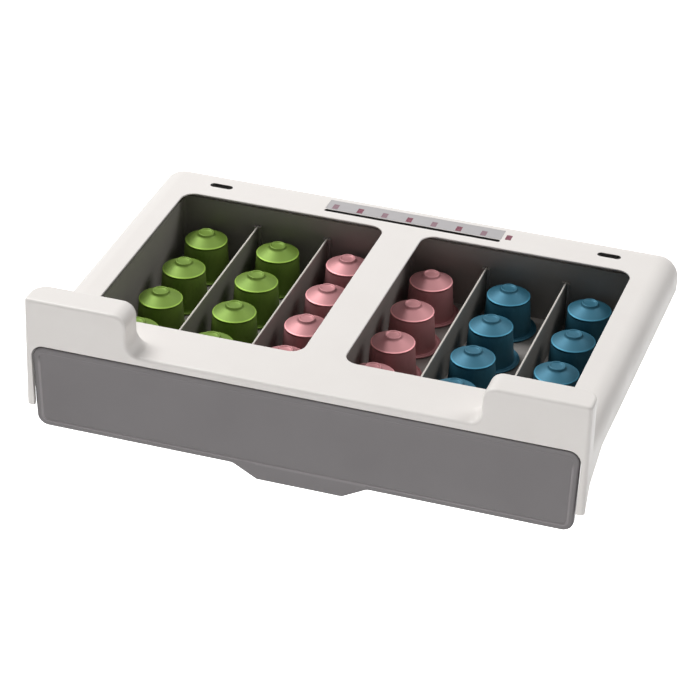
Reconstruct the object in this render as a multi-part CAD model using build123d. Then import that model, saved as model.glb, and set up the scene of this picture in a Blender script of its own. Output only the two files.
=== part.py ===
from build123d import *
import os

# Under-cabinet drawer for coffee pods: a white moulded housing with two windows,
# and a grey drawer that slides out of its front. Millimetres, +Z up, -Y the front.
# Origin: on the deck, midway across the housing and midway along the windows.

# ---------------------------------------------------------------- driving sizes
# housing deck and windows
window_outer_half = 145.0        # centre line to the outer edge of a window
centre_bar_width = 25.2
window_depth = 162.0
window_corner_radius = 9.0
window_edge_radius = 0.6
window_lip = 0.8                 # height of the deck's edge round each window
window_undercut = 4.2            # below the lip the deck's underside flares out this far
front_margin = 38.5              # window to the front face
rear_margin = 36.0               # window to the rear face
side_margin = 23.5               # window to the side face
deck_thickness = 3.0
skirt_wall = 3.0
shoulder_radius = 13.0           # soft edge along the sides and the rear
rear_corner_radius = 13.5
front_corner_radius = 2.6
# housing skirt, seen from the side
side_skirt_depth = 20.0
front_leg_depth = 46.0
leg_tip = 2.4                    # level end of the leg, front to back
leg_toe_length = 9.5             # front face to the top of the leg's steep part
leg_toe_rise = 15.0
leg_slope_length = 26.0          # slope from there up to the side skirt
leg_toe_radius = 8.0
leg_slope_radius = 14.0
# front opening of the housing
lip_height = 5.0                 # white band over the drawer's face
lip_thickness = 3.0
lip_edge_radius = 2.0
opening_corner_radius = 7.5
opening_side_wall = 3.7
# ears at the two front corners
ear_length = 62.5                # along the front, in from the side face
ear_height = 25.0
ear_thickness = 19.5
ear_top_radius = 8.0
ear_foot_radius = 8.0
ear_foot_land = 2.0
ear_plan_radius = 10.0
ear_wall = 3.0
ear_rib = 2.5
# fixing slots through the rear of the deck
fixing_slot_inset = 42.0         # side face to the slot's middle
fixing_slot_setback = 21.2       # rear face to the slot's middle
fixing_slot_length = 15.0
fixing_slot_width = 5.0
# long slot and marker strip
long_slot_length = 114.3
long_slot_width = 3.0
long_slot_setback = 8.8          # behind the windows
long_slot_offset = 1.5           # slot and strip sit this far right of the middle
strip_length = 114.0
strip_width = 11.5
strip_gap_to_slot = 0.6
strip_thickness = 0.6
strip_clearance = 0.15
mark_count = 8
mark_pitch = 16.1                # the last mark falls past the strip's end, on the deck
mark_first_inset = 5.5           # strip's left end to the first mark's middle
mark_length = 6.0
mark_width = 3.6
mark_thickness = 0.3
mark_setback = 0.9               # strip's front edge to the marks
mark_clearance = 0.05
# rib across the underside of the deck, behind the drawer
deck_rib_gap = 1.0
deck_rib_thickness = 1.5
deck_rib_depth = 8.0
# drawer tray
tray_side_overlap = 2.0          # tray's inside past the windows' outer edges
tray_wall = 2.0
tray_floor = 2.0
tray_rear_overlap = 2.0          # tray's inside past the windows' rear edges
tray_inner_depth = 39.7          # rim down to the floor
tray_corner_radius = 4.0
tray_top_gap = 0.8               # under the housing's lip
tray_rear_top_gap = 0.8          # rear wall, under the deck
centre_wall_width = 8.0
centre_wall_skin = 2.0
divider_top_drop = 10.2          # tray rim down to the dividers' tops
divider_thickness = 1.2
divider_places = (-97.0, -51.0, 53.0, 104.0)   # each divider's middle: the columns differ in width
divider_slot_clearance = 0.3
guide_rib_width = 1.6
guide_rib_depth = 2.4
# drawer face
face_side_gap = 0.8              # to the sides of the housing's opening
face_taper = 1.6                 # each side, from top to bottom
face_height = 53.6
face_thickness = 5.0
face_lean = 1.5                  # the bottom edge stands this much further back
face_corner_radius = 7.0
face_field_inset = 4.0
face_field_depth = 0.4
tab_half_width_top = 41.0
tab_half_width_bottom = 26.0
tab_drop = 8.3
tab_corner_radius = 3.0
tab_root_radius = 5.0
# runners
rail_clearance = 2.0             # tray wall to rail
rail_depth = 11.0                # across, from the open side to the web
rail_web = 2.0
rail_top_drop = 5.5              # below the deck's underside
rail_lip = 2.0
rail_channel = 7.3
rail_shelf = 1.7
rail_front_setback = 6.0         # front face to the rail
rail_tail = 6.5                  # tray's rear end to the rail's end wall
rail_end_wall = 2.5
rail_screw_inset = 6.0           # rail's open side to the screws
rail_screw_front_inset = 18.5    # from the runner's front end
rail_screw_rear_inset = 11.5     # from the runner's end wall
boss_radius = 4.0
boss_root = 0.6                  # bosses run this far into the deck
driver_hole_radius = 3.5
# tray flange and its glide pads
flange_reach = 9.5
flange_thickness = 2.5
flange_front_setback = 4.0
glide_clearance = 0.3
pad_length = 20.0
pad_width = 6.0
pad_height = 1.0
pad_inset = 7.0                  # tray wall to the pads' middle
pad_front_inset = 15.5           # from the flange's front end
pad_rear_inset = 19.0            # from its rear end
pad_peg_radius = 1.8
pad_peg_clearance = 0.1
pad_head_radius = 2.4
pad_head_height = 1.0
# stops
stop_gap = 0.3                   # lug to clip with the drawer fully out
stop_clip_setback = 34.7         # from the runner's front end
stop_clip_length = 6.0
stop_clip_thickness = 1.2
stop_clip_drop = 3.0
stop_clip_reach = 2.4
stop_clip_back_reach = 4.5
lug_length = 7.5
lug_reach = 4.2
lug_height = 3.0
bumper_radius = 3.2
bumper_gap = 0.4
# screws
screw_head_radius = 2.8
screw_head_height = 2.0
screw_head_round = 0.8
screw_shank_radius = 1.2
screw_pilot_radius = 1.25
screw_clear_radius = 1.7
screw_recess_width = 0.8
screw_recess_length = 3.4
screw_recess_depth = 1.0
rail_screw_bite = 4.5
face_screw_bite = 3.0
face_screw_drop = 18.2           # below the tray's rim
face_screw_places = (27.8, 123.2)   # out from the centre line, on both sides
screw_tip_clearance = 0.3
# pods, standing on their foil lids
pod_rows = 5
pod_flange_radius = 18.5
pod_row_gap = 2.4
pod_front_gap = 0.6
pod_places = (-125.0, -77.4, -31.4, 23.0, 72.6, 123.7)   # where each row of pods stands in its column
pod_height = 29.0
pod_flange_height = 1.3
pod_flange_land = 0.7
pod_flange_bead = 1.2
pod_base_radius = 15.0
pod_shoulder_radius = 13.3
pod_nose_rise = 5.0
pod_shoulder_round = 0.9
pod_nose_radius = 4.5
pod_nose_step = 0.9
pod_nose_rim = 1.1
pod_nose_dish = 0.6
pod_wall = 0.5
lid_radius = 17.2
lid_thickness = 0.3

# ------------------------------------------------------------ derived positions
half_width = window_outer_half + side_margin
front_y = -(window_depth / 2 + front_margin)
rear_y = window_depth / 2 + rear_margin
window_width = window_outer_half - centre_bar_width / 2
ear_inner_x = half_width - ear_length
opening_half = half_width - opening_side_wall
fixing_slot_x = half_width - fixing_slot_inset
fixing_slot_y = rear_y - fixing_slot_setback
long_slot_y = window_depth / 2 + long_slot_setback
window_middle_x = centre_bar_width / 2 + window_width / 2

tray_inner_half = window_outer_half + tray_side_overlap
tray_rim_z = -(lip_height + tray_top_gap)
tray_rear_rim_z = -(deck_thickness + tray_rear_top_gap)
floor_z = tray_rim_z - tray_inner_depth
tray_bottom_z = floor_z - tray_floor
tray_outer_half = tray_inner_half + tray_wall
face_back_y = front_y + face_thickness
tray_front_inner_y = face_back_y + tray_wall
tray_rear_inner_y = window_depth / 2 + tray_rear_overlap
tray_depth_inside = tray_rear_inner_y - tray_front_inner_y
tray_rear_y = tray_rear_inner_y + tray_wall
divider_top_z = tray_rim_z - divider_top_drop
face_half_width_top = opening_half - face_side_gap
face_half_width_bottom = face_half_width_top - face_taper
face_screw_z = tray_rim_z - face_screw_drop

rail_x0 = tray_outer_half + rail_clearance
rail_x1 = rail_x0 + rail_depth
rail_top_z = -deck_thickness - rail_top_drop
rail_channel_top_z = rail_top_z - rail_lip
rail_shelf_z = rail_channel_top_z - rail_channel
rail_bottom_z = rail_shelf_z - rail_shelf
rail_y0 = front_y + rail_front_setback
rail_wall_y = tray_rear_y + rail_tail
rail_y1 = rail_wall_y + rail_end_wall
rail_screw_x = rail_x0 + rail_screw_inset
rail_screw_front_y = rail_y0 + rail_screw_front_inset
rail_screw_rear_y = rail_wall_y - rail_screw_rear_inset
rail_screw_ys = [rail_screw_front_y, (rail_screw_front_y + rail_screw_rear_y) / 2, rail_screw_rear_y]

pad_bottom_z = rail_shelf_z + glide_clearance
flange_bottom_z = pad_bottom_z + pad_height
flange_top_z = flange_bottom_z + flange_thickness
flange_outer_x = tray_outer_half + flange_reach
flange_y0 = face_back_y + flange_front_setback
pad_x = tray_outer_half + pad_inset
pad_ys = (flange_y0 + pad_front_inset, tray_rear_y - pad_rear_inset)
lug_y0 = tray_rear_y - lug_length
lug_top_z = flange_top_z + lug_height

BIG = 400.0                      # reach of a cutting tool past the model


def block(x0, x1, y0, y1, z0, z1):
    return Pos((x0 + x1) / 2, (y0 + y1) / 2, (z0 + z1) / 2) * Box(x1 - x0, y1 - y0, z1 - z0)


def post(x, y, z0, z1, r):
    return Pos(x, y, (z0 + z1) / 2) * Cylinder(r, z1 - z0)


def rod(x, z, y0, y1, r):
    return Pos(x, (y0 + y1) / 2, z) * Rot(90, 0, 0) * Cylinder(r, y1 - y0)


def obround(x, y, length, width, z0, z1):
    return Pos(x, y, z0) * extrude(SlotOverall(length, width), z1 - z0)


def outline(points):
    return make_face(Polyline(*points, close=True))


def rounded(points, radii):
    """Closed outline in a plane, with each corner rounded by its own radius."""
    face = outline(points)
    for p, r in zip(points, radii):
        if r > 0:
            corner = face.vertices().sort_by_distance((p[0], p[1], 0))[0]
            face = fillet(corner, r)
    return face


def along_y(face, y0, y1):
    """Extrude a face drawn as (x, z) from y0 to y1."""
    plane = Plane(origin=(0, y0, 0), x_dir=(1, 0, 0), z_dir=(0, -1, 0))
    return extrude(plane * face, -(y1 - y0))


def both_sides(shape):
    return [shape, mirror(shape, about=Plane.YZ)]


def solids_of(shapes):
    out = []
    for s in shapes:
        out.extend(s.solids())
    return out


os.makedirs("parts", exist_ok=True)


def save(name, *shapes):
    solids = solids_of(shapes)
    body = solids[0] if len(solids) == 1 else Compound(children=solids)
    body.label = name
    export_step(body, f"parts/{name}.step")
    return body


# ---------------------------------------------------------------- top_frame
def shouldered_block(hw, y0, y1, z0, z1, corner, radius):
    """Block whose rear corners are rounded in plan and whose top edge is
    rounded along both sides and the rear, with a plain front."""
    plan = rounded([(-hw, y0), (hw, y0), (hw, y1), (-hw, y1)], [0, 0, corner, corner])
    solid = Pos(0, 0, z0) * extrude(plan, z1 - z0)
    top = [e for e in solid.edges() if abs(e.center().Z - z1) < 1e-3 and e.center().Y > y0 + 1]
    return fillet(top, radius)


shell = shouldered_block(half_width, front_y, rear_y, -front_leg_depth, 0.0,
                         rear_corner_radius, shoulder_radius)

ear_y1 = front_y + ear_thickness
foot_x = ear_inner_x - ear_foot_radius
land_x = foot_x - ear_foot_land
ear_profile = rounded(
    [(land_x, -lip_height), (land_x, 0.0), (ear_inner_x, 0.0), (ear_inner_x, ear_height),
     (half_width, ear_height), (half_width, -front_leg_depth), (ear_inner_x, -front_leg_depth),
     (ear_inner_x, -lip_height)],
    [0, 0, ear_foot_radius, ear_top_radius, 0, 0, 0, 0])
ear = along_y(ear_profile, front_y, ear_y1)
outer = [e for e in ear.edges().filter_by(Axis.Z) if abs(e.center().X - half_width) < 1e-3]
outer_front, outer_rear = sorted(outer, key=lambda e: e.center().Y)
ear = fillet(outer_front, front_corner_radius)
outer_rear = [e for e in ear.edges().filter_by(Axis.Z)
              if abs(e.center().X - half_width) < 1e-3 and abs(e.center().Y - ear_y1) < 1e-3]
ear = fillet(outer_rear, ear_plan_radius)
ear_edges = [e for e in ear.edges()
             if e.center().Z > -deck_thickness / 4
             and (abs(e.center().Y - front_y) < 1e-3 or abs(e.center().Y - ear_y1) < 1e-3
                  or abs(e.center().Z - ear_height) < 1e-3)
             and abs(e.center().X - land_x) > 1e-3]
ear_edges = [e for e in ear_edges if e.length > 1e-3 and not (
    abs(e.tangent_at(0.5).Y) > 0.99 and e.center().X < half_width - 1)]
ear = fillet(ear_edges, lip_edge_radius)

# the block's own front edge is rounded between the ears, which fill its corners
front_edge = [e for e in shell.edges() if abs(e.center().Y - front_y) < 1e-3
              and abs(e.center().Z) < 1e-3]
shell = fillet(front_edge, lip_edge_radius)
shell = shell - both_sides(block(land_x + ear_foot_land / 2, half_width + 1, front_y - 1,
                                 front_y + ear_thickness / 2, -front_leg_depth - 1, 1.0))
shell = shell + both_sides(ear)

# cavity under the deck, and the front opening that the drawer passes
cavity = shouldered_block(half_width - skirt_wall, front_y + lip_thickness, rear_y - skirt_wall,
                          -BIG, -deck_thickness, rear_corner_radius - skirt_wall,
                          shoulder_radius - skirt_wall)
opening_foot = opening_half - face_taper * (BIG - lip_height) / face_height
opening_face = rounded([(-opening_foot, -BIG), (opening_foot, -BIG), (opening_half, -lip_height),
                        (-opening_half, -lip_height)],
                       [0, 0, opening_corner_radius, opening_corner_radius])
opening = along_y(opening_face, front_y - 1, front_y + lip_thickness + 1)
shell = shell - cavity - opening

# cores in the ears, open downwards, with a rib between them
core_x0 = ear_inner_x + ear_wall
core_x1 = half_width - ear_wall
core_mid = (core_x0 + core_x1) / 2
core_y = (front_y + lip_thickness, ear_y1 - ear_wall)
core_z = (-deck_thickness - 1, ear_height - ear_wall)
for cx0, cx1 in ((core_x0, core_mid - ear_rib / 2), (core_mid + ear_rib / 2, core_x1)):
    shell = shell - both_sides(block(cx0, cx1, *core_y, *core_z))

# skirt trimmed to its side profile: level at the sides, sloping down to a leg at the front
toe_y = front_y + leg_toe_length
slope_y = toe_y + leg_slope_length
below = rounded(
    [(front_y - 1, -BIG), (front_y - 1, -front_leg_depth), (front_y + leg_tip, -front_leg_depth),
     (toe_y, -front_leg_depth + leg_toe_rise), (slope_y, -side_skirt_depth),
     (rear_y + 1, -side_skirt_depth), (rear_y + 1, -BIG)],
    [0, 0, 0, leg_toe_radius, leg_slope_radius, 0, 0])
trim_plane = Plane(origin=(-half_width - 1, 0, 0), x_dir=(0, 1, 0), z_dir=(1, 0, 0))
shell = shell - extrude(trim_plane * below, 2 * half_width + 2)

# windows, slots and the strip's recess
for side in (-1, 1):
    window = RectangleRounded(window_width, window_depth, window_corner_radius)
    shell = shell - Pos(side * window_middle_x, 0, -2 * deck_thickness) * extrude(window, 4 * deck_thickness)
    rim = [e for e in shell.edges() if abs(e.center().Y) < window_depth / 2 + 1e-3
           and abs(e.center().X - side * window_middle_x) < window_width / 2 + 1e-3]
    shell = fillet([e for e in rim if abs(e.center().Z) < 1e-3], window_edge_radius)
    wider = RectangleRounded(window_width + 2 * window_undercut, window_depth + 2 * window_undercut,
                             window_corner_radius + window_undercut)
    shell = shell - Pos(side * window_middle_x, 0, 0) * loft([Pos(0, 0, -window_lip) * window,
                                                              Pos(0, 0, -deck_thickness) * wider])
    shell = shell - obround(side * fixing_slot_x, fixing_slot_y, fixing_slot_length,
                            fixing_slot_width, -2 * deck_thickness, deck_thickness)
shell = shell - obround(long_slot_offset, long_slot_y, long_slot_length, long_slot_width,
                        -2 * deck_thickness, deck_thickness)
strip_x0 = long_slot_offset - strip_length / 2
strip_x1 = strip_x0 + strip_length
strip_y0 = long_slot_y + long_slot_width / 2 + strip_gap_to_slot
strip_y1 = strip_y0 + strip_width
shell = shell - block(strip_x0 - strip_clearance, strip_x1 + strip_clearance,
                      strip_y0 - strip_clearance, strip_y1 + strip_clearance,
                      -strip_thickness, deck_thickness)

# shallow pockets for the printed marks, in the strip and past its end in the deck
mark_y0 = strip_y0 + mark_setback
mark_xs = [strip_x0 + mark_first_inset + mark_pitch * i for i in range(mark_count)]
pockets = [block(x - mark_width / 2 - mark_clearance, x + mark_width / 2 + mark_clearance,
                 mark_y0 - mark_clearance, mark_y0 + mark_length + mark_clearance,
                 -mark_thickness, deck_thickness) for x in mark_xs]
for x, pocket in zip(mark_xs, pockets):
    if x > strip_x1:
        shell = shell - pocket

# rib behind the drawer, rooted in the deck
rib_y0 = tray_rear_y + deck_rib_gap
shell = shell + block(-tray_outer_half, tray_outer_half, rib_y0, rib_y0 + deck_rib_thickness,
                      -deck_thickness - deck_rib_depth, -deck_thickness / 2)

# bosses that carry the runners
boss_root_z = -deck_thickness + boss_root
pilot_top_z = rail_channel_top_z + rail_lip + rail_screw_bite + screw_tip_clearance
for y in rail_screw_ys:
    for boss in both_sides(post(rail_screw_x, y, rail_top_z, boss_root_z, boss_radius)):
        shell = shell + boss
for y in rail_screw_ys:
    for pilot in both_sides(post(rail_screw_x, y, rail_top_z - 1, pilot_top_z, screw_pilot_radius)):
        shell = shell - pilot
save("top_frame", shell)

# ---------------------------------------------------------------- marker strip
strip = block(strip_x0, strip_x1, strip_y0, strip_y1, -strip_thickness, 0.0)
for pocket in pockets:
    strip = strip - pocket
save("scale_strip", strip)
save("scale_marks", *[block(x - mark_width / 2, x + mark_width / 2, mark_y0, mark_y0 + mark_length,
                            -mark_thickness, 0.0) for x in mark_xs])

# ---------------------------------------------------------------- runners
rail = block(rail_x0, rail_x1, rail_y0, rail_y1, rail_bottom_z, rail_top_z)
rail = rail - block(rail_x0 - 1, rail_x1 - rail_web, rail_y0 - 1, rail_wall_y,
                    rail_shelf_z, rail_channel_top_z)
for y in rail_screw_ys:
    rail = rail - post(rail_screw_x, y, rail_channel_top_z - 1, rail_top_z + 1, screw_clear_radius)
    rail = rail - post(rail_screw_x, y, rail_bottom_z - 1, rail_shelf_z + 1, driver_hole_radius)
right_rail, left_rail = both_sides(rail)
save("right_rail", right_rail)
save("left_rail", left_rail)


def pan_screw(bite, through):
    """Pan-head screw along +Z, its head under z = 0 and its shank above it."""
    head = Pos(0, 0, -screw_head_height / 2) * Cylinder(screw_head_radius, screw_head_height)
    head = fillet(head.edges().sort_by(Axis.Z)[0], screw_head_round)
    shank = post(0, 0, -screw_head_height / 2, through + bite, screw_shank_radius)
    screw = head + shank
    z0, z1 = -screw_head_height - 1, -screw_head_height + screw_recess_depth
    screw = screw - block(-screw_recess_length / 2, screw_recess_length / 2,
                          -screw_recess_width / 2, screw_recess_width / 2, z0, z1)
    return screw - block(-screw_recess_width / 2, screw_recess_width / 2,
                         -screw_recess_length / 2, screw_recess_length / 2, z0, z1)


rail_screw = pan_screw(rail_screw_bite, rail_lip)
save("rail_screws", *[Pos(side * rail_screw_x, y, rail_channel_top_z) * rail_screw
                      for side in (-1, 1) for y in rail_screw_ys])

# rubber bumpers on the runners' end walls
bumper_x = (rail_x0 + flange_outer_x) / 2
bumper_z = (rail_shelf_z + rail_channel_top_z) / 2
bumper = rod(bumper_x, bumper_z, tray_rear_y + bumper_gap, rail_wall_y, bumper_radius)
save("rear_bumpers", *both_sides(bumper))

# clips over the runners' upper lips that stop the drawer's lugs
clip_y0 = rail_y0 + stop_clip_setback
clip_y1 = clip_y0 + stop_clip_length
travel = lug_y0 - stop_gap - clip_y1
clip_x0 = rail_x0 - stop_clip_thickness
clip = block(clip_x0, rail_x0 + stop_clip_back_reach, clip_y0, clip_y1,
             rail_channel_top_z - stop_clip_drop, rail_top_z + stop_clip_thickness)
clip = clip - block(rail_x0, rail_x0 + stop_clip_back_reach + 1, clip_y0 - 1, clip_y1 + 1,
                    rail_channel_top_z, rail_top_z)
clip = clip - block(rail_x0 + stop_clip_reach, rail_x0 + stop_clip_back_reach + 1, clip_y0 - 1,
                    clip_y1 + 1, rail_channel_top_z - stop_clip_drop - 1, rail_channel_top_z)
save("stop_clips", *both_sides(clip))

# ---------------------------------------------------------------- drawer tray
tray_plan = RectangleRounded(2 * tray_outer_half, tray_rear_y - face_back_y, tray_corner_radius)
tray_middle_y = (tray_rear_y + face_back_y) / 2
tray = Pos(0, tray_middle_y, tray_bottom_z) * extrude(tray_plan, tray_rear_rim_z - tray_bottom_z)
tray = tray - block(-BIG, BIG, face_back_y - 1, tray_rear_inner_y, tray_rim_z, BIG)
half_inside = tray_inner_half - centre_wall_width / 2
bay = RectangleRounded(half_inside, tray_depth_inside, tray_corner_radius - tray_wall)
bay_middle_y = (tray_front_inner_y + tray_rear_inner_y) / 2
bay_solid = Pos(centre_wall_width / 2 + half_inside / 2, bay_middle_y, floor_z) * extrude(bay, BIG)
tray = tray - both_sides(bay_solid)
tray = tray - block(-centre_wall_width / 2, centre_wall_width / 2, tray_front_inner_y,
                    tray_rear_inner_y, divider_top_z, 1.0)
core = centre_wall_width / 2 - centre_wall_skin
tray = tray - block(-core, core, tray_front_inner_y + tray_wall, tray_rear_inner_y - tray_wall,
                    tray_bottom_z - 1, divider_top_z - centre_wall_skin)
flange = block(tray_outer_half - tray_wall / 2, flange_outer_x, flange_y0, tray_rear_y,
               flange_bottom_z, flange_top_z)
lug = block(tray_outer_half - tray_wall / 2, tray_outer_half + lug_reach, lug_y0, tray_rear_y,
            flange_bottom_z, lug_top_z)
for y in pad_ys:
    flange = flange - post(pad_x, y, flange_bottom_z - 1, flange_top_z + 1,
                           pad_peg_radius + pad_peg_clearance)
tray = tray + both_sides(flange + lug)
# pairs of ribs on the front and rear walls that hold each divider
rib_gap = divider_thickness / 2 + divider_slot_clearance
for dx in divider_places:
    for y0, y1 in ((tray_front_inner_y - tray_wall / 2, tray_front_inner_y + guide_rib_depth),
                   (tray_rear_inner_y - guide_rib_depth, tray_rear_inner_y + tray_wall / 2)):
        for x0 in (dx - rib_gap - guide_rib_width, dx + rib_gap):
            rib = block(x0, x0 + guide_rib_width, y0, y1, floor_z - tray_floor / 2, divider_top_z)
            tray = tray + rib
face_screw_xs = [s * x for s in (-1, 1) for x in face_screw_places]
for x in face_screw_xs:
    tray = tray - rod(x, face_screw_z, face_back_y - 1, tray_front_inner_y + 1, screw_clear_radius)
save("drawer_tray", tray)

# dividers, dropped between the ribs
divider = block(-divider_thickness / 2, divider_thickness / 2,
                tray_front_inner_y + divider_slot_clearance,
                tray_rear_inner_y - divider_slot_clearance, floor_z, divider_top_z)
for number, x in enumerate(divider_places, start=1):
    save(f"divider_{number}", Pos(x, 0, 0) * divider)

# ---------------------------------------------------------------- drawer face
face_top_z = tray_rim_z
face_bottom_z = face_top_z - face_height
tab_z = face_bottom_z - tab_drop


def face_points(inset):
    """Face outline without its tab, drawn in by an inset."""
    slant = (face_half_width_top - face_half_width_bottom) / face_height
    zt, zb = face_top_z - inset, face_bottom_z + inset
    return [(-(face_half_width_bottom + slant * (zb - face_bottom_z) - inset), zb),
            (face_half_width_bottom + slant * (zb - face_bottom_z) - inset, zb),
            (face_half_width_top - slant * inset - inset, zt),
            (-(face_half_width_top - slant * inset - inset), zt)]


p = face_points(0)
face_outline = rounded(
    [p[0], (-tab_half_width_top, face_bottom_z), (-tab_half_width_bottom, tab_z),
     (tab_half_width_bottom, tab_z), (tab_half_width_top, face_bottom_z), p[1], p[2], p[3]],
    [face_corner_radius, tab_root_radius, tab_corner_radius, tab_corner_radius,
     tab_root_radius, face_corner_radius, face_corner_radius, face_corner_radius])
face = along_y(face_outline, front_y, face_back_y)


def lean_cut(depth):
    """Everything in front of the face's leaning front plane, moved in by depth."""
    y_top = front_y + depth
    y_bottom = front_y + face_lean + depth
    k = (y_bottom - y_top) / face_height
    z0, z1 = tab_z - 5, face_top_z + 5
    pts = [(front_y - 20, z0), (y_top + k * (face_top_z - z0), z0),
           (y_top + k * (face_top_z - z1), z1), (front_y - 20, z1)]
    side_plane = Plane(origin=(-half_width - 1, 0, 0), x_dir=(0, 1, 0), z_dir=(1, 0, 0))
    return extrude(side_plane * outline(pts), 2 * half_width + 2)


face = face - lean_cut(0)
field_radius = face_corner_radius - face_field_inset
field = along_y(rounded(face_points(face_field_inset), [field_radius] * 4), front_y - 20, face_back_y)
face = face - (field & lean_cut(face_field_depth))
for x in face_screw_xs:
    face = face - rod(x, face_screw_z, face_back_y - face_screw_bite - screw_tip_clearance,
                      face_back_y + 1, screw_pilot_radius)
save("fascia", face)
face_screw = Rot(90, 0, 0) * pan_screw(face_screw_bite, tray_wall)
save("fascia_screws", *[Pos(x, tray_front_inner_y, face_screw_z) * face_screw for x in face_screw_xs])

# glide pads, pegged up through the tray's flanges
pad = block(pad_x - pad_width / 2, pad_x + pad_width / 2, -pad_length / 2, pad_length / 2,
            pad_bottom_z, flange_bottom_z)
pad = pad + post(pad_x, 0, flange_bottom_z - pad_height / 2, flange_top_z + pad_head_height / 2,
                 pad_peg_radius)
pad = pad + post(pad_x, 0, flange_top_z, flange_top_z + pad_head_height, pad_head_radius)
save("glide_pads", *[s for y in pad_ys for s in both_sides(Pos(0, y, 0) * pad)])

# ---------------------------------------------------------------- pods
pod_z0 = floor_z + lid_thickness
nose_z = floor_z + pod_height
shoulder_z = nose_z - pod_nose_rise
land_z = pod_z0 + pod_flange_land
w = pod_wall
profile = [
    (pod_base_radius - w, pod_z0), (pod_flange_radius, pod_z0),
    (pod_flange_radius, pod_z0 + pod_flange_height),
    (pod_flange_radius - pod_flange_bead, pod_z0 + pod_flange_height),
    (pod_flange_radius - pod_flange_bead, land_z), (pod_base_radius, land_z),
    (pod_shoulder_radius, shoulder_z - pod_shoulder_round),
    (pod_shoulder_radius - pod_shoulder_round / 2, shoulder_z),
    (pod_nose_radius, nose_z - pod_nose_step), (pod_nose_radius - w / 2, nose_z),
    (pod_nose_radius - pod_nose_rim, nose_z),
    (pod_nose_radius - pod_nose_rim - w / 2, nose_z - pod_nose_dish), (0, nose_z - pod_nose_dish),
    (0, nose_z - pod_nose_dish - w), (pod_nose_radius - w, nose_z - pod_nose_dish - w - w / 2),
    (pod_shoulder_radius - w - pod_shoulder_round / 2, shoulder_z - w),
    (pod_shoulder_radius - w, shoulder_z - pod_shoulder_round - w),
]
pod_plane = Plane(origin=(0, 0, 0), x_dir=(1, 0, 0), z_dir=(0, -1, 0))
pod = revolve(pod_plane * outline(profile), Axis.Z)
lid = post(0, 0, floor_z, pod_z0, lid_radius)
row_pitch = 2 * pod_flange_radius + pod_row_gap
first_row_y = tray_front_inner_y + pod_front_gap + pod_flange_radius
row_ys = [first_row_y + row_pitch * k for k in range(pod_rows)]
for number, x in enumerate(pod_places, start=1):
    save(f"pods_col_{number}", *[Pos(x, y, 0) * pod for y in row_ys])
    save(f"pod_lids_col_{number}", *[Pos(x, y, 0) * lid for y in row_ys])

print("overall x", -half_width, half_width, "y", front_y, rear_y, "z", tab_z, ear_height)
print("drawer travel", round(travel, 3), "fixing slots at y", fixing_slot_y, "spacing", 2 * fixing_slot_x)
print("floor", floor_z, "divider top", divider_top_z, "pod nose", nose_z)
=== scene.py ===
import math

import bmesh
import bpy
import numpy as np
from mathutils import Matrix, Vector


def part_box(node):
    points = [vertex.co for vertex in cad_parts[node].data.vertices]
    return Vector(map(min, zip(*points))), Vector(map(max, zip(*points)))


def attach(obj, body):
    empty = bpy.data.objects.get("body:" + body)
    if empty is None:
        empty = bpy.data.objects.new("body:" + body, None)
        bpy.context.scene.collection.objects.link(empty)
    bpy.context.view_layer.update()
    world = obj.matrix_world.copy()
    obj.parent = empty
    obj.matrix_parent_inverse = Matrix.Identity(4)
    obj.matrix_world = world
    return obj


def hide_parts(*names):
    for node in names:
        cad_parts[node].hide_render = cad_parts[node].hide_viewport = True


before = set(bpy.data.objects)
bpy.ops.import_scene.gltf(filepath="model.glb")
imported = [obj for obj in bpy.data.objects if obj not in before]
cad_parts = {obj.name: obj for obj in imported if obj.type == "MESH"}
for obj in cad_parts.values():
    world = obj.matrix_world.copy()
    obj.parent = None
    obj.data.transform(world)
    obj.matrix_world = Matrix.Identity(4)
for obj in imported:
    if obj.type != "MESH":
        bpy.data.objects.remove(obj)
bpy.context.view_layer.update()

# ------------------------------------------------------------------ housing
# One white ABS moulding: deck with two windows, shoulders, skirts and two ears.
# Satin, spark-eroded mould finish, so it is soft-edged in reflection and very
# slightly uneven in tone. The CAD node has the right shape and is kept.


def linear(code):
    """sRGB hex to linear colour: c/12.92 up to 0.04045, above it ((c+0.055)/1.055)^2.4."""
    c = np.array([int(code[i:i + 2], 16) for i in (0, 2, 4)]) / 255.0
    low, high = c / 12.92, ((c + 0.055) / 1.055) ** 2.4
    return (*np.where(c <= 0.04045, low, high).tolist(), 1.0)


def set_inputs(mat, node, inputs):
    """Sets each input of a node to a value, or links another node's output to it."""
    for key, value in inputs.items():
        if isinstance(value, bpy.types.NodeSocket):
            mat.node_tree.links.new(value, node.inputs[key])
        else:
            node.inputs[key].default_value = value


def add(mat, kind, inputs=None, **settings):
    """Adds a node to a material with its own settings and its inputs."""
    made = mat.node_tree.nodes.new(kind)
    for key, value in settings.items():
        setattr(made, key, value)
    set_inputs(mat, made, inputs or {})
    return made


def finish_of(name, roughness, metallic=0.0, ior=1.5):
    """A new material, with its shader node and its point in object space in metres."""
    mat = bpy.data.materials.new(name)
    mat.use_nodes = True
    shader = mat.node_tree.nodes["Principled BSDF"]
    set_inputs(mat, shader, {"Roughness": roughness, "Metallic": metallic, "IOR": ior})
    return mat, shader, add(mat, "ShaderNodeTexCoord").outputs["Object"]


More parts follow.
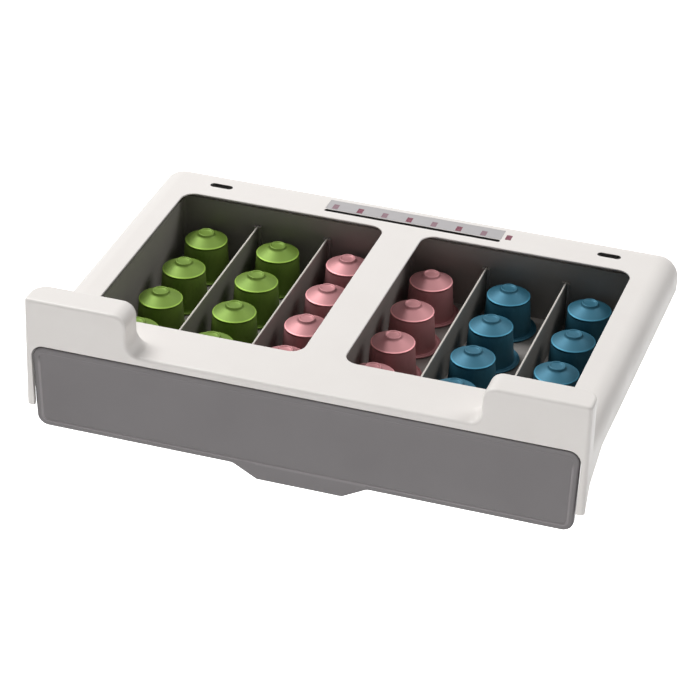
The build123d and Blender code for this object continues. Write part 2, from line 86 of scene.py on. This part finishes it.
def moulded(name, light, dark, grain_mm, grain_height_mm, mottle_mm=35.0, rough=(0.38, 0.48), ior=1.53):
    """Injection-moulded plastic: a wide faint mottle between two tones, a fine
    mould grain in the bump, and roughness that drifts with the mottle."""
    mat, shader, place = finish_of(name, rough[0], ior=ior)
    cloud = add(mat, "ShaderNodeTexNoise", {"Vector": place, "Scale": 1000.0 / mottle_mm,
                                            "Detail": 3.0, "Roughness": 0.5})
    tone = add(mat, "ShaderNodeMix", {0: cloud.outputs["Fac"], 6: linear(light), 7: linear(dark)},
               data_type="RGBA")
    gloss = add(mat, "ShaderNodeMapRange", {"Value": cloud.outputs["Fac"], "From Min": 0.3,
                                            "From Max": 0.7, "To Min": rough[0], "To Max": rough[1]})
    grain = add(mat, "ShaderNodeTexNoise", {"Vector": place, "Scale": 1000.0 / grain_mm,
                                            "Detail": 2.0, "Roughness": 0.6})
    bump = add(mat, "ShaderNodeBump", {"Height": grain.outputs["Fac"], "Strength": 0.25,
                                       "Distance": grain_height_mm / 1000.0})
    set_inputs(mat, shader, {"Base Color": tone.outputs[2], "Roughness": gloss.outputs["Result"],
                             "Normal": bump.outputs["Normal"]})
    return mat


def dress(node, mat):
    """Gives a kept CAD node its finish in every slot."""
    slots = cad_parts[node].data.materials
    slots.clear()
    slots.append(mat)


def within(mat, place, middle, half):
    """1 inside a box, 0 outside it: the largest of |p - middle| - half, over x, y and z, is below 0."""
    offset = add(mat, "ShaderNodeVectorMath", {0: place, 1: middle}, operation="SUBTRACT")
    apart = add(mat, "ShaderNodeVectorMath", {0: offset.outputs["Vector"]}, operation="ABSOLUTE")
    over = add(mat, "ShaderNodeVectorMath", {0: apart.outputs["Vector"], 1: half}, operation="SUBTRACT")
    axes = add(mat, "ShaderNodeSeparateXYZ", {"Vector": over.outputs["Vector"]})
    largest = axes.outputs["X"]
    for axis in ("Y", "Z"):
        largest = add(mat, "ShaderNodeMath", {0: largest, 1: axes.outputs[axis]},
                      operation="MAXIMUM").outputs["Value"]
    return add(mat, "ShaderNodeMath", {0: largest, 1: 0.0}, operation="LESS_THAN").outputs["Value"]


def lay_over(mat, factor, code):
    """Lays another tone over the material's own, fully where factor is 1."""
    shader = mat.node_tree.nodes["Principled BSDF"]
    own = shader.inputs["Base Color"].links[0].from_socket
    over = add(mat, "ShaderNodeMix", {0: factor, 6: own, 7: linear(code)}, data_type="RGBA")
    set_inputs(mat, shader, {"Base Color": over.outputs[2]})


# the mould grain is about 0.3 mm on the real deck; drawn at 0.9 mm so that it shows
white_abs = moulded("satin_white_ABS", "ece8e4", "e5e0dc", 0.9, 0.05)
# painted shade: the cut walls of the long slot and of the two fixing slots are painted near-black, as they
# look in shadow; each box is a few tenths of a millimetre wider than its slot and lies just under the deck's
# face
long_slot_middle, long_slot_half = (0.0015, 0.0898), (0.0575, 0.0017)
fixing_slot_middle, fixing_slot_half = (0.1265, 0.0958), (0.0078, 0.0028)
wall_depth, wall_half = 0.0016, 0.00135
deck_place = add(white_abs, "ShaderNodeTexCoord").outputs["Object"]
mirrored = add(white_abs, "ShaderNodeVectorMath", {0: deck_place}, operation="ABSOLUTE").outputs["Vector"]
long_slot_shade = within(white_abs, deck_place, (*long_slot_middle, -wall_depth), (*long_slot_half, wall_half))
fixing_slot_shade = within(white_abs, mirrored, (*fixing_slot_middle, wall_depth), (*fixing_slot_half, wall_half))
painted_slot_shade = add(white_abs, "ShaderNodeMath", {0: long_slot_shade, 1: fixing_slot_shade}, operation="MAXIMUM")
lay_over(white_abs, painted_slot_shade.outputs["Value"], "1a1716")
dress("top_frame", white_abs)

# ------------------------------------------------------------------ runners
# Two C-shaped ABS runners screwed under the deck, with rubber bumpers at the
# rear and acetal clips over their lips that stop the drawer. The deck hides them
# from straight above, and all are kept from the CAD.
runner_abs = moulded("natural_grey_ABS", "b4b2af", "a6a4a1", 1.2, 0.05, rough=(0.5, 0.6))
dress("left_rail", runner_abs)
dress("right_rail", runner_abs)
# natural acetal: milky white and waxy smooth
acetal = moulded("natural_acetal", "efeee8", "e4e2da", 0.8, 0.02, rough=(0.3, 0.38), ior=1.48)
dress("stop_clips", acetal)
dress("glide_pads", acetal)
# black nitrile rubber, moulded: dull, with a dusty bloom
nitrile = moulded("black_nitrile_rubber", "201f1f", "2b2a29", 0.7, 0.06, mottle_mm=6.0, rough=(0.7, 0.85))
dress("rear_bumpers", nitrile)

# zinc-plated steel screws: bright, finely blotched in tone and gloss
zinc, zinc_shader, zinc_place = finish_of("zinc_plated_steel", 0.3, metallic=1.0)
blotches_per_metre = 900.0                                    # about 1.1 mm each
plate = add(zinc, "ShaderNodeTexNoise", {"Vector": zinc_place, "Scale": blotches_per_metre, "Detail": 4.0})
plate_tone = add(zinc, "ShaderNodeMix", {0: plate.outputs["Fac"], 6: linear("c9cbcf"),
                                         7: linear("a9acb2")}, data_type="RGBA")
plate_rough = add(zinc, "ShaderNodeMapRange", {"Value": plate.outputs["Fac"], "To Min": 0.22, "To Max": 0.42})
set_inputs(zinc, zinc_shader, {"Base Color": plate_tone.outputs[2],
                               "Roughness": plate_rough.outputs["Result"]})
dress("rail_screws", zinc)
dress("fascia_screws", zinc)

# ------------------------------------------------------------------ marker strip
# A thin frosted polycarbonate strip let into the deck behind the long slot. Of the
# eight plain marks, pad-printed in a worn dark red, the last is past the strip's end.
frosted, frosted_shader, frosted_place = finish_of("frosted_polycarbonate", 0.5, ior=1.58)
hazes_per_metre = 160.0                                       # about 6 mm each
haze = add(frosted, "ShaderNodeTexNoise", {"Vector": frosted_place, "Scale": hazes_per_metre, "Detail": 3.0})
haze_tone = add(frosted, "ShaderNodeMix", {0: haze.outputs["Fac"], 6: linear("aba8a9"),
                                           7: linear("b5b2b3")}, data_type="RGBA")
set_inputs(frosted, frosted_shader, {"Base Color": haze_tone.outputs[2]})
dress("scale_strip", frosted)

ink, ink_shader, ink_place = finish_of("worn_red_pad_print", 0.55)
worn_spots_per_metre = 700.0                                  # about 1.4 mm each
wear = add(ink, "ShaderNodeTexNoise", {"Vector": ink_place, "Scale": worn_spots_per_metre,
                                       "Detail": 3.0, "Roughness": 0.7})
wear_edge = add(ink, "ShaderNodeMapRange", {"Value": wear.outputs["Fac"], "From Min": 0.42, "From Max": 0.62})
ink_tone = add(ink, "ShaderNodeMix", {0: wear_edge.outputs["Result"], 6: linear("69263a"),
                                      7: linear("86505f")}, data_type="RGBA")
set_inputs(ink, ink_shader, {"Base Color": ink_tone.outputs[2]})
# the first mark, and every second one after it, is printed fainter
first_mark_x, mark_pitch, faintness = -0.0500, 0.0161, 0.55
ink_axes = add(ink, "ShaderNodeSeparateXYZ", {"Vector": ink_place})
from_start = add(ink, "ShaderNodeMath", {0: ink_axes.outputs["X"], 1: first_mark_x - mark_pitch / 2},
                 operation="SUBTRACT")
in_pair = add(ink, "ShaderNodeMath", {0: from_start.outputs["Value"], 1: 2 * mark_pitch}, operation="MODULO")
first_of_pair = add(ink, "ShaderNodeMath", {0: in_pair.outputs["Value"], 1: mark_pitch},
                    operation="LESS_THAN")
faint = add(ink, "ShaderNodeMath", {0: first_of_pair.outputs["Value"], 1: faintness}, operation="MULTIPLY")
lay_over(ink, faint.outputs["Value"], "9a8a91")
dress("scale_marks", ink)

# ------------------------------------------------------------------ drawer tray
# Grey moulded ABS tray with a double wall down its middle. Plain matt walls,
# which take light on the left and fall into the deck's shade at the rear.
tray_abs = moulded("matt_grey_ABS", "8f8a86", "847f7b", 1.1, 0.05, rough=(0.5, 0.62))
dress("drawer_tray", tray_abs)

# ------------------------------------------------------------------ dividers
# Four thin moulded sheets, dropped between ribs on the tray's end walls. The top edge is rounded over, and
# the thin pale line along it is a painted highlight.


def surface(name, points, wrap_u=False, wrap_v=False, uv=None):
    """A grid of points, rows along u and columns along v, made into a mesh of
    quads: row i, column j joins to its neighbours at i + 1 and j + 1, and
    round again where it wraps. Where uv holds a value for each row and one for
    each column, with one more where it wraps, they are its texture coordinates."""
    n, m = points.shape[:2]
    i, j = np.broadcast_arrays(np.arange(n if wrap_u else n - 1)[:, None],
                               np.arange(m if wrap_v else m - 1)[None, :])
    i1, j1 = (i + 1) % n, (j + 1) % m
    quads = np.stack([i * m + j, i1 * m + j, i1 * m + j1, i * m + j1], axis=-1).reshape(-1, 4)
    mesh = bpy.data.meshes.new(name)
    mesh.from_pydata(points.reshape(-1, 3).tolist(), [], quads.tolist())
    if uv is not None:
        rows = np.stack([i, i + 1, i + 1, i], axis=-1).reshape(-1)
        columns = np.stack([j, j, j + 1, j + 1], axis=-1).reshape(-1)
        pairs = np.stack([uv[0][rows], uv[1][columns]], axis=-1)
        layer = mesh.uv_layers.new(name="profile")
        layer.data.foreach_set("uv", pairs.reshape(-1).astype(np.float32))
    return mesh


def flat_ends(name, *loops):
    """A mesh with one flat face over each loop of points."""
    mesh = bpy.data.meshes.new(name)
    starts = np.cumsum([0] + [len(loop) for loop in loops])
    faces = [list(range(start, end)) for start, end in zip(starts[:-1], starts[1:])]
    mesh.from_pydata(np.concatenate(loops).tolist(), [], faces)
    return mesh


def piece(name, meshes, mat, sharp_degrees=35.0):
    """Joins meshes into one piece at the origin: doubles merged, normals out, smooth but for sharp edges."""
    joined = bpy.data.meshes.new(name)
    work = bmesh.new()
    for mesh in meshes:
        work.from_mesh(mesh)
        bpy.data.meshes.remove(mesh)
    bmesh.ops.remove_doubles(work, verts=work.verts, dist=1e-6)
    bmesh.ops.recalc_face_normals(work, faces=work.faces)
    work.to_mesh(joined)
    work.free()
    joined.materials.append(mat)
    joined.shade_smooth()
    joined.set_sharp_from_angle(angle=math.radians(sharp_degrees))
    made = bpy.data.objects.new(name, joined)
    bpy.context.scene.collection.objects.link(made)
    return made


divider_abs = moulded("grey_ABS_sheet", "75716c", "6a6661", 1.0, 0.04, rough=(0.42, 0.55))
# a painted highlight along the top edge, which fades out 0.6 mm down
divider_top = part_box("divider_1")[1][2]
highlight_depth, highlight_fade = 0.0006, 0.0003
divider_place = add(divider_abs, "ShaderNodeTexCoord").outputs["Object"]
divider_axes = add(divider_abs, "ShaderNodeSeparateXYZ", {"Vector": divider_place})
top_highlight = add(divider_abs, "ShaderNodeMapRange", {
    "Value": divider_axes.outputs["Z"], "From Min": divider_top - highlight_depth,
    "From Max": divider_top - highlight_depth + highlight_fade})
lay_over(divider_abs, top_highlight.outputs["Result"], "d6d1c9")
edge_round = 0.00045
turn = np.linspace(0, np.pi / 2, 5)
for number in (1, 2, 3, 4):
    low, high = (np.array(c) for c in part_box(f"divider_{number}"))
    half = (high[0] - low[0]) / 2
    # cross-section: up one side, over two quarter rounds at the top, down the other
    right = np.stack([half - edge_round + edge_round * np.cos(turn),
                      high[2] - edge_round + edge_round * np.sin(turn)], axis=-1)
    left = right[::-1] * (-1, 1)
    section = np.concatenate([[[half, low[2]]], right, left, [[-half, low[2]]]])
    along = np.array([low[1], low[1] + edge_round, high[1] - edge_round, high[1]])
    shrink = np.array([1 - edge_round / half, 1.0, 1.0, 1 - edge_round / half])
    grid = np.empty((len(along), len(section), 3))
    grid[..., 0] = (low[0] + high[0]) / 2 + section[None, :, 0] * shrink[:, None]
    grid[..., 1] = along[:, None]
    grid[..., 2] = section[None, :, 1]
    skin = surface("divider_skin", grid, wrap_v=True)
    ends = flat_ends("divider_ends", grid[0], grid[-1])
    sheet = piece(f"divider_sheet_{number}", [skin, ends], divider_abs)
    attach(sheet, "drawer")
    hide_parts(f"divider_{number}")

# ------------------------------------------------------------------ drawer face
# One grey ABS moulding screwed to the tray, with a pull tab under its middle.
# Its field is sunk a little inside a border, with a thin painted highlight beside the field and painted shade
# at the border's outer edge, and its front leans back towards the bottom.


def rounded_loop(corners, radii, steps=9):
    """Closed outline with an arc at each corner: it touches both edges r / tan(half the
    corner) away from it, and a corner on a straight line is its own point, repeated."""
    p = np.asarray(corners, float)
    out = []
    for k, r in enumerate(radii):
        a, b = p[k - 1] - p[k], p[(k + 1) % len(p)] - p[k]
        a, b = a / np.linalg.norm(a), b / np.linalg.norm(b)
        half_corner = np.arccos(np.clip(a @ b, -1, 1)) / 2
        if half_corner > np.pi / 2 - 1e-4:
            out.append(np.repeat(p[k][None], steps, axis=0))
            continue
        centre = p[k] + (a + b) / np.linalg.norm(a + b) * r / np.sin(half_corner)
        u = (p[k] + a * r / np.tan(half_corner) - centre) / r
        v = (p[k] + b * r / np.tan(half_corner) - centre) / r
        swept = np.arccos(np.clip(u @ v, -1, 1))
        t = np.linspace(0, 1, steps)[:, None]
        out.append(centre + r * (np.sin((1 - t) * swept) * u + np.sin(t * swept) * v) / np.sin(swept))
    return np.concatenate(out)


def drawn_in(corners, gap):
    """The corners after every edge moves inwards by gap: neighbouring moved edges are crossed again."""
    p = np.asarray(corners, float)
    edge = np.roll(p, -1, axis=0) - p
    edge /= np.linalg.norm(edge, axis=1, keepdims=True)
    inward = np.stack([-edge[:, 1], edge[:, 0]], axis=-1)      # corners run anticlockwise
    before_edge, before_in = np.roll(edge, 1, axis=0), np.roll(inward, 1, axis=0)
    start, end = p + before_in * gap, p + inward * gap
    cross = before_edge[:, 0] * edge[:, 1] - before_edge[:, 1] * edge[:, 0]
    apart = end - start
    t = (apart[:, 0] * edge[:, 1] - apart[:, 1] * edge[:, 0]) / np.where(np.abs(cross) < 1e-6, np.inf, cross)
    return start + before_edge * t[:, None]


face_low, face_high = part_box("fascia")
front_y, back_y, top_z = face_low[1], face_high[1], face_high[2]
face_height, face_lean, tab_drop = 0.0536, 0.0015, 0.0083
bottom_z = top_z - face_height
half_top, half_bottom = 0.1640, 0.1624
tab_xs = (-0.0410, -0.0260, 0.0260, 0.0410)
face_radii = np.array([7.0, 5.0, 3.0, 3.0, 5.0, 7.0, 7.0, 7.0]) / 1000
turned_in = np.array([0, 1, 0, 0, 1, 0, 0, 0])                # the tab's two roots curve the other way


def face_ring(gap, depth, drop=tab_drop):
    """Outline drawn in by gap, at a depth behind the leaning front plane; with no
    drop the tab's corners lie on the bottom edge."""
    corners = [(-half_bottom, bottom_z), (tab_xs[0], bottom_z), (tab_xs[1], bottom_z - drop),
               (tab_xs[2], bottom_z - drop), (tab_xs[3], bottom_z), (half_bottom, bottom_z),
               (half_top, top_z), (-half_top, top_z)]
    loop = rounded_loop(drawn_in(corners, gap), face_radii + np.where(turned_in, gap, -gap))
    y = front_y + face_lean * (top_z - loop[:, 1]) / face_height + depth
    return np.stack([loop[:, 0], np.minimum(y, back_y), loop[:, 1]], axis=-1)


# rings from the back over the rounded edge and across the border to the tab's root,
# then down the soft slope, a cubic step of 3 s^2 - 2 s^3, to the sunk field
back_inset, back_depth, side_depth = 0.0003, 0.0100, 0.0032
edge_across, edge_back = 0.0016, 0.0010
tab_root, field_inset, field_slope, field_depth = 0.0029, 0.0034, 0.0010, 0.0007
edge_turn = np.linspace(0, np.pi / 2, 8)
slope = np.linspace(0, 1, 8)
rings = [face_ring(back_inset, back_depth), face_ring(0.0, side_depth)]
rings += [face_ring(edge_across * (1 - np.cos(t)), edge_back * (1 - np.sin(t))) for t in edge_turn]
rings += [face_ring(tab_root, 0.0, 0.0)]
rings += [face_ring(field_inset + field_slope * s, field_depth * (3 * s**2 - 2 * s**3), 0.0) for s in slope]
# the first texture coordinate of each ring is how far it lies in from the outline, in millimetres
inset_mm = 1000 * np.concatenate([[0, 0], edge_across * (1 - np.cos(edge_turn)), [tab_root],
                                  field_inset + field_slope * slope])
skin = surface("face_skin", np.stack(rings), wrap_v=True, uv=(inset_mm, np.zeros(len(rings[0]) + 1)))

fascia_abs = moulded("satin_grey_ABS", "6d696a", "676364", 0.9, 0.05, rough=(0.40, 0.50))
# the border has a painted highlight towards the field and painted shade at its outer edge, but for its top,
# which the housing's lip covers: tone is scaled by twice the ramp's grey
ramp_mm, plain = 5.0, (0.5, 0.5, 0.5, 1.0)
fascia_shader = fascia_abs.node_tree.nodes["Principled BSDF"]
fascia_own = fascia_shader.inputs["Base Color"].links[0].from_socket
inset = add(fascia_abs, "ShaderNodeSeparateXYZ", {
    "Vector": add(fascia_abs, "ShaderNodeUVMap", uv_map="profile").outputs["UV"]})
along_ramp = add(fascia_abs, "ShaderNodeMath", {0: inset.outputs["X"], 1: 1 / ramp_mm}, operation="MULTIPLY")
border_light_and_shade = add(fascia_abs, "ShaderNodeValToRGB", {"Fac": along_ramp.outputs["Value"]})
for stop_mm, grey in ((0.15, 0.3), (0.9, 0.35), (1.5, 0.5), (2.75, 0.52), (2.85, 0.7), (3.4, 0.78),
                      (3.6, 1.0), (4.1, 1.0), (4.3, 0.5)):
    border_light_and_shade.color_ramp.elements.new(stop_mm / ramp_mm).color = (grey, grey, grey, 1.0)
for end in (0, -1):
    border_light_and_shade.color_ramp.elements[end].color = plain
lip_cover, lip_fade = 0.007, 0.005
fascia_place = add(fascia_abs, "ShaderNodeTexCoord").outputs["Object"]
height = add(fascia_abs, "ShaderNodeSeparateXYZ", {"Vector": fascia_place})
under_lip = add(fascia_abs, "ShaderNodeMapRange", {
    "Value": height.outputs["Z"], "From Min": top_z - lip_cover - lip_fade, "From Max": top_z - lip_cover})
kept = add(fascia_abs, "ShaderNodeMix", {0: under_lip.outputs["Result"], 6: border_light_and_shade.outputs["Color"], 7: plain},
           data_type="RGBA")
scale = add(fascia_abs, "ShaderNodeVectorMath", {0: kept.outputs[2], 1: (2.0, 2.0, 2.0)},
            operation="MULTIPLY")
fascia_tone = add(fascia_abs, "ShaderNodeVectorMath", {0: fascia_own, 1: scale.outputs["Vector"]},
                  operation="MULTIPLY")
set_inputs(fascia_abs, fascia_shader, {"Base Color": fascia_tone.outputs["Vector"]})
front = piece("drawer_face", [skin, flat_ends("face_caps", rings[0], rings[-1])], fascia_abs, 50.0)
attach(front, "drawer")
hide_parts("fascia")

# ------------------------------------------------------------------ pods
# Deep-drawn aluminium pods, anodised in green, pink or blue, and stood on their
# foil lids. Each has a rolled flange, a tapered wall, a beaded shoulder, a
# shallow cone and a dished nose.


def anodised(name, light, dark, bead_cm):
    """Satin anodised aluminium: fine turned rings that follow the pod's own profile in roughness and bump, a
    tone that drifts a little, and a painted highlight that makes the shoulder bead brighter, up to 0.6 mm
    either side of bead_cm along it."""
    mat, shader, place = finish_of(name, 0.5, metallic=0.45)
    profile = add(mat, "ShaderNodeUVMap", uv_map="profile")
    # all three scales are given: rings 0.17 mm apart are too fine to be told apart in the picture, as they
    # are on the photograph's pods, and the tone drifts over about 11 mm
    streaks_per_turn, rings_per_cm, drifts_per_metre = 3.0, 60.0, 90.0
    long_grain = add(mat, "ShaderNodeMapping", {"Vector": profile.outputs["UV"],
                                                "Scale": (streaks_per_turn, rings_per_cm, 1.0)})
    turned = add(mat, "ShaderNodeTexNoise", {"Vector": long_grain.outputs["Vector"], "Scale": 1.0,
                                             "Detail": 2.0})
    drift = add(mat, "ShaderNodeTexNoise", {"Vector": place, "Scale": drifts_per_metre, "Detail": 1.0})
    tone = add(mat, "ShaderNodeMix", {0: drift.outputs["Fac"], 6: linear(light), 7: linear(dark)},
               data_type="RGBA")
    rough = add(mat, "ShaderNodeMapRange", {"Value": turned.outputs["Fac"], "To Min": 0.47, "To Max": 0.60})
    bump = add(mat, "ShaderNodeBump", {"Height": turned.outputs["Fac"], "Strength": 0.15,
                                       "Distance": 0.00005})
    # painted highlight: the base tone is scaled up to 1.9 times on the shoulder bead
    arc = add(mat, "ShaderNodeSeparateXYZ", {"Vector": profile.outputs["UV"]})
    past_bead = add(mat, "ShaderNodeMath", {0: arc.outputs["Y"], 1: bead_cm}, operation="SUBTRACT")
    off_bead = add(mat, "ShaderNodeMath", {0: past_bead.outputs["Value"]}, operation="ABSOLUTE")
    bead_highlight = add(mat, "ShaderNodeMapRange", {"Value": off_bead.outputs["Value"], "From Min": 0.02,
                                           "From Max": 0.06, "To Min": 1.9, "To Max": 1.0})
    highlighted_tone = add(mat, "ShaderNodeVectorMath", {0: tone.outputs[2], "Scale": bead_highlight.outputs["Result"]},
                      operation="SCALE")
    set_inputs(mat, shader, {"Base Color": highlighted_tone.outputs["Vector"],
                             "Roughness": rough.outputs["Result"], "Normal": bump.outputs["Normal"]})
    return mat


# plain rolled foil: bright, with soft creases
foil, foil_shader, foil_place = finish_of("plain_aluminium_foil", 0.35, metallic=1.0)
creases_per_metre = 400.0                                     # about 2.5 mm each
crease = add(foil, "ShaderNodeTexNoise", {"Vector": foil_place, "Scale": creases_per_metre, "Detail": 3.0})
crease_tone = add(foil, "ShaderNodeMix", {0: crease.outputs["Fac"], 6: linear("d4d4d6"),
                                          7: linear("bcbcc0")}, data_type="RGBA")
crease_bump = add(foil, "ShaderNodeBump", {"Height": crease.outputs["Fac"], "Strength": 0.3,
                                           "Distance": 0.0001})
set_inputs(foil, foil_shader, {"Base Color": crease_tone.outputs[2], "Normal": crease_bump.outputs["Normal"]})

# radius and height over the lid, in millimetres, from the flange's underside up to the nose
flange = [(14.4, 0.0), (17.2, 0.0), (17.9, 0.05), (18.35, 0.3), (18.5, 0.7), (18.35, 1.05), (18.0, 1.28),
          (17.6, 1.3), (17.3, 1.1), (17.2, 0.8), (16.9, 0.72), (15.5, 0.7)]
wall = [(15.15, 0.8), (14.98, 1.1), (14.7, 4.0), (14.3, 9.0), (13.85, 15.0), (13.4, 20.6), (13.15, 21.5)]
bead = [(13.05, 21.9), (13.15, 22.2), (13.38, 22.45), (13.46, 22.8), (13.38, 23.15), (13.1, 23.4)]
cone = [(12.7, 23.55), (12.2, 23.75), (11.0, 24.35), (9.0, 25.35), (7.4, 26.15), (6.3, 26.7)]
nose = [(5.8, 27.0), (5.5, 27.35), (5.3, 27.85), (5.15, 28.25), (5.0, 28.5), (4.8, 28.66), (4.55, 28.7),
        (4.3, 28.63), (4.1, 28.42), (3.9, 28.15), (3.5, 27.95), (1.7, 27.85), (0.0, 27.85)]
pod_profile = np.array(flange + wall + bead + cone + nose)
radii, heights = pod_profile[:, 0] / 1000, pod_profile[:, 1] / 1000
segments, pods_in_column = 72, 5
angle = np.linspace(0, 2 * np.pi, segments, endpoint=False)
# the texture coordinates are the share of a turn and the length along the profile, in centimetres
step_mm = np.linalg.norm(np.diff(pod_profile, axis=0), axis=1)
arc_cm = np.concatenate([[0], np.cumsum(step_mm)]) / 10.0
pod_uv = (np.linspace(0, 1, segments + 1), arc_cm)
bead_end = len(flange + wall + bead) - 1
pod_colours = {"green": ("6f8a34", "627e2b"), "pink": ("bd8588", "ae787b"), "blue": ("2d6579", "225a6f")}
pod_finish = {colour: anodised(f"anodised_{colour}_aluminium", *tones, arc_cm[bead_end])
              for colour, tones in pod_colours.items()}
for number, colour in enumerate(("green", "green", "pink", "pink", "blue", "blue"), start=1):
    low, high = (np.array(c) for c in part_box(f"pods_col_{number}"))
    middle = (low[0] + high[0]) / 2
    radius = (high[0] - low[0]) / 2
    skins = []
    for y in np.linspace(low[1] + radius, high[1] - radius, pods_in_column):
        # surface of revolution: (r cos a, r sin a, h) round the pod's own axis
        ring = np.empty((segments, len(radii), 3))
        ring[..., 0] = middle + np.cos(angle)[:, None] * radii
        ring[..., 1] = y + np.sin(angle)[:, None] * radii
        ring[..., 2] = low[2] + heights
        skins.append(surface("pod_skin", ring, wrap_u=True, uv=pod_uv))
        skins.append(flat_ends("pod_base", ring[:, 0]))
    row = piece(f"pod_row_{number}", skins, pod_finish[colour])
    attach(row, "drawer")
    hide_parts(f"pods_col_{number}")
    dress(f"pod_lids_col_{number}", foil)

# ------------------------------------------------------------------ floor and light
# A matt white floor far below the hung drawer, drawn pure white to the camera as
# the photograph's cut-out ground is. The key is a large soft lamp high on the left,
# with a weaker one behind on the right and a low one that lights the front.
floor_mesh = bpy.data.meshes.new("studio_floor")
reach, floor_z = 6.0, -0.42
floor_mesh.from_pydata([(-reach, -reach, floor_z), (reach, -reach, floor_z), (reach, reach, floor_z),
                        (-reach, reach, floor_z)], [], [(0, 1, 2, 3)])
studio_floor = bpy.data.objects.new("studio_floor", floor_mesh)
bpy.context.scene.collection.objects.link(studio_floor)
white = (1.0, 1.0, 1.0, 1.0)


def shown(mat):
    """1 for what the camera sees itself, in a gloss or through a clear part, 0 for what lights the object."""
    path = add(mat, "ShaderNodeLightPath").outputs
    seen = path["Is Camera Ray"]
    for ray in ("Is Glossy Ray", "Is Transmission Ray"):
        seen = add(mat, "ShaderNodeMath", {0: seen, 1: path[ray]}, operation="MAXIMUM").outputs["Value"]
    return seen


floor_paint, floor_shader, floor_place = finish_of("matt_white_backdrop", 0.9)
clouds_per_metre = 3.0                                        # about 0.3 m each
shading = add(floor_paint, "ShaderNodeTexNoise", {"Vector": floor_place, "Scale": clouds_per_metre})
floor_tone = add(floor_paint, "ShaderNodeMix", {0: shading.outputs["Fac"], 6: linear("f4f4f4"),
                                                7: linear("eeeeee")}, data_type="RGBA")
set_inputs(floor_paint, floor_shader, {"Base Color": floor_tone.outputs[2], "Emission Color": white,
                                       "Emission Strength": shown(floor_paint)})
floor_mesh.materials.append(floor_paint)

world = bpy.data.worlds.new("studio")
bpy.context.scene.world = world
world.use_nodes = True
strength = add(world, "ShaderNodeMapRange", {"Value": shown(world), "To Min": 0.09, "To Max": 1.0})
backdrop = world.node_tree.nodes["Background"]
set_inputs(world, backdrop, {"Color": white, "Strength": strength.outputs["Result"]})


def stand(name, data, place, x_axis, y_axis, z_axis):
    """A new lamp or camera at place, with its own axes turned to the three given."""
    made = bpy.data.objects.new(name, data)
    bpy.context.scene.collection.objects.link(made)
    turned = np.stack([x_axis, y_axis, z_axis], axis=1)
    made.matrix_world = Matrix([(*row, p) for row, p in zip(turned, place)] + [(0, 0, 0, 1)])
    return made


def softbox(name, place, aim, size, watts):
    """A square area lamp that looks from place to aim."""
    lamp = bpy.data.lights.new(name, "AREA")
    lamp.shape, lamp.size, lamp.energy = "SQUARE", size, watts
    back = np.array(place, float) - np.array(aim, float)
    back /= np.linalg.norm(back)
    side = np.cross((0, 0, 1), back)
    side /= np.linalg.norm(side)
    stand(name, lamp, place, side, np.cross(back, side), back)


softbox("key", (-1.35, 0.45, 1.95), (0, 0, 0), 1.1, 51.0)
softbox("right", (1.4, 1.0, 1.6), (0, 0, 0), 1.0, 20.0)
softbox("front", (0.1, -2.2, -0.08), (0, 0, -0.02), 0.6, 16.5)

# ------------------------------------------------------------------ camera
# The photograph's own view, found from the windows' and the face's edges:
# a long lens, 17 degrees round to the right and 31 above, rolled a little.
azimuth, elevation, roll = math.radians(17.206), math.radians(30.862), math.radians(-1.850)
camera_place, focal_px, picture_px = (0.44705, -1.46976, 0.87713), 2960.9, 700.0
look = np.array([-math.sin(azimuth) * math.cos(elevation), math.cos(azimuth) * math.cos(elevation),
                 -math.sin(elevation)])
level_x = np.cross(look, (0, 0, 1))
level_x /= np.linalg.norm(level_x)
level_y = np.cross(look, level_x)                             # points down in the picture
across = math.cos(roll) * level_x + math.sin(roll) * level_y
down = np.cross(look, across)
camera = stand("camera", bpy.data.cameras.new("camera"), camera_place, across, -down, -look)
camera.data.sensor_width = 36.0
camera.data.lens = camera.data.sensor_width * focal_px / picture_px
camera.data.clip_end = 50.0
bpy.context.scene.camera = camera
bpy.context.scene.view_settings.view_transform = "Standard"
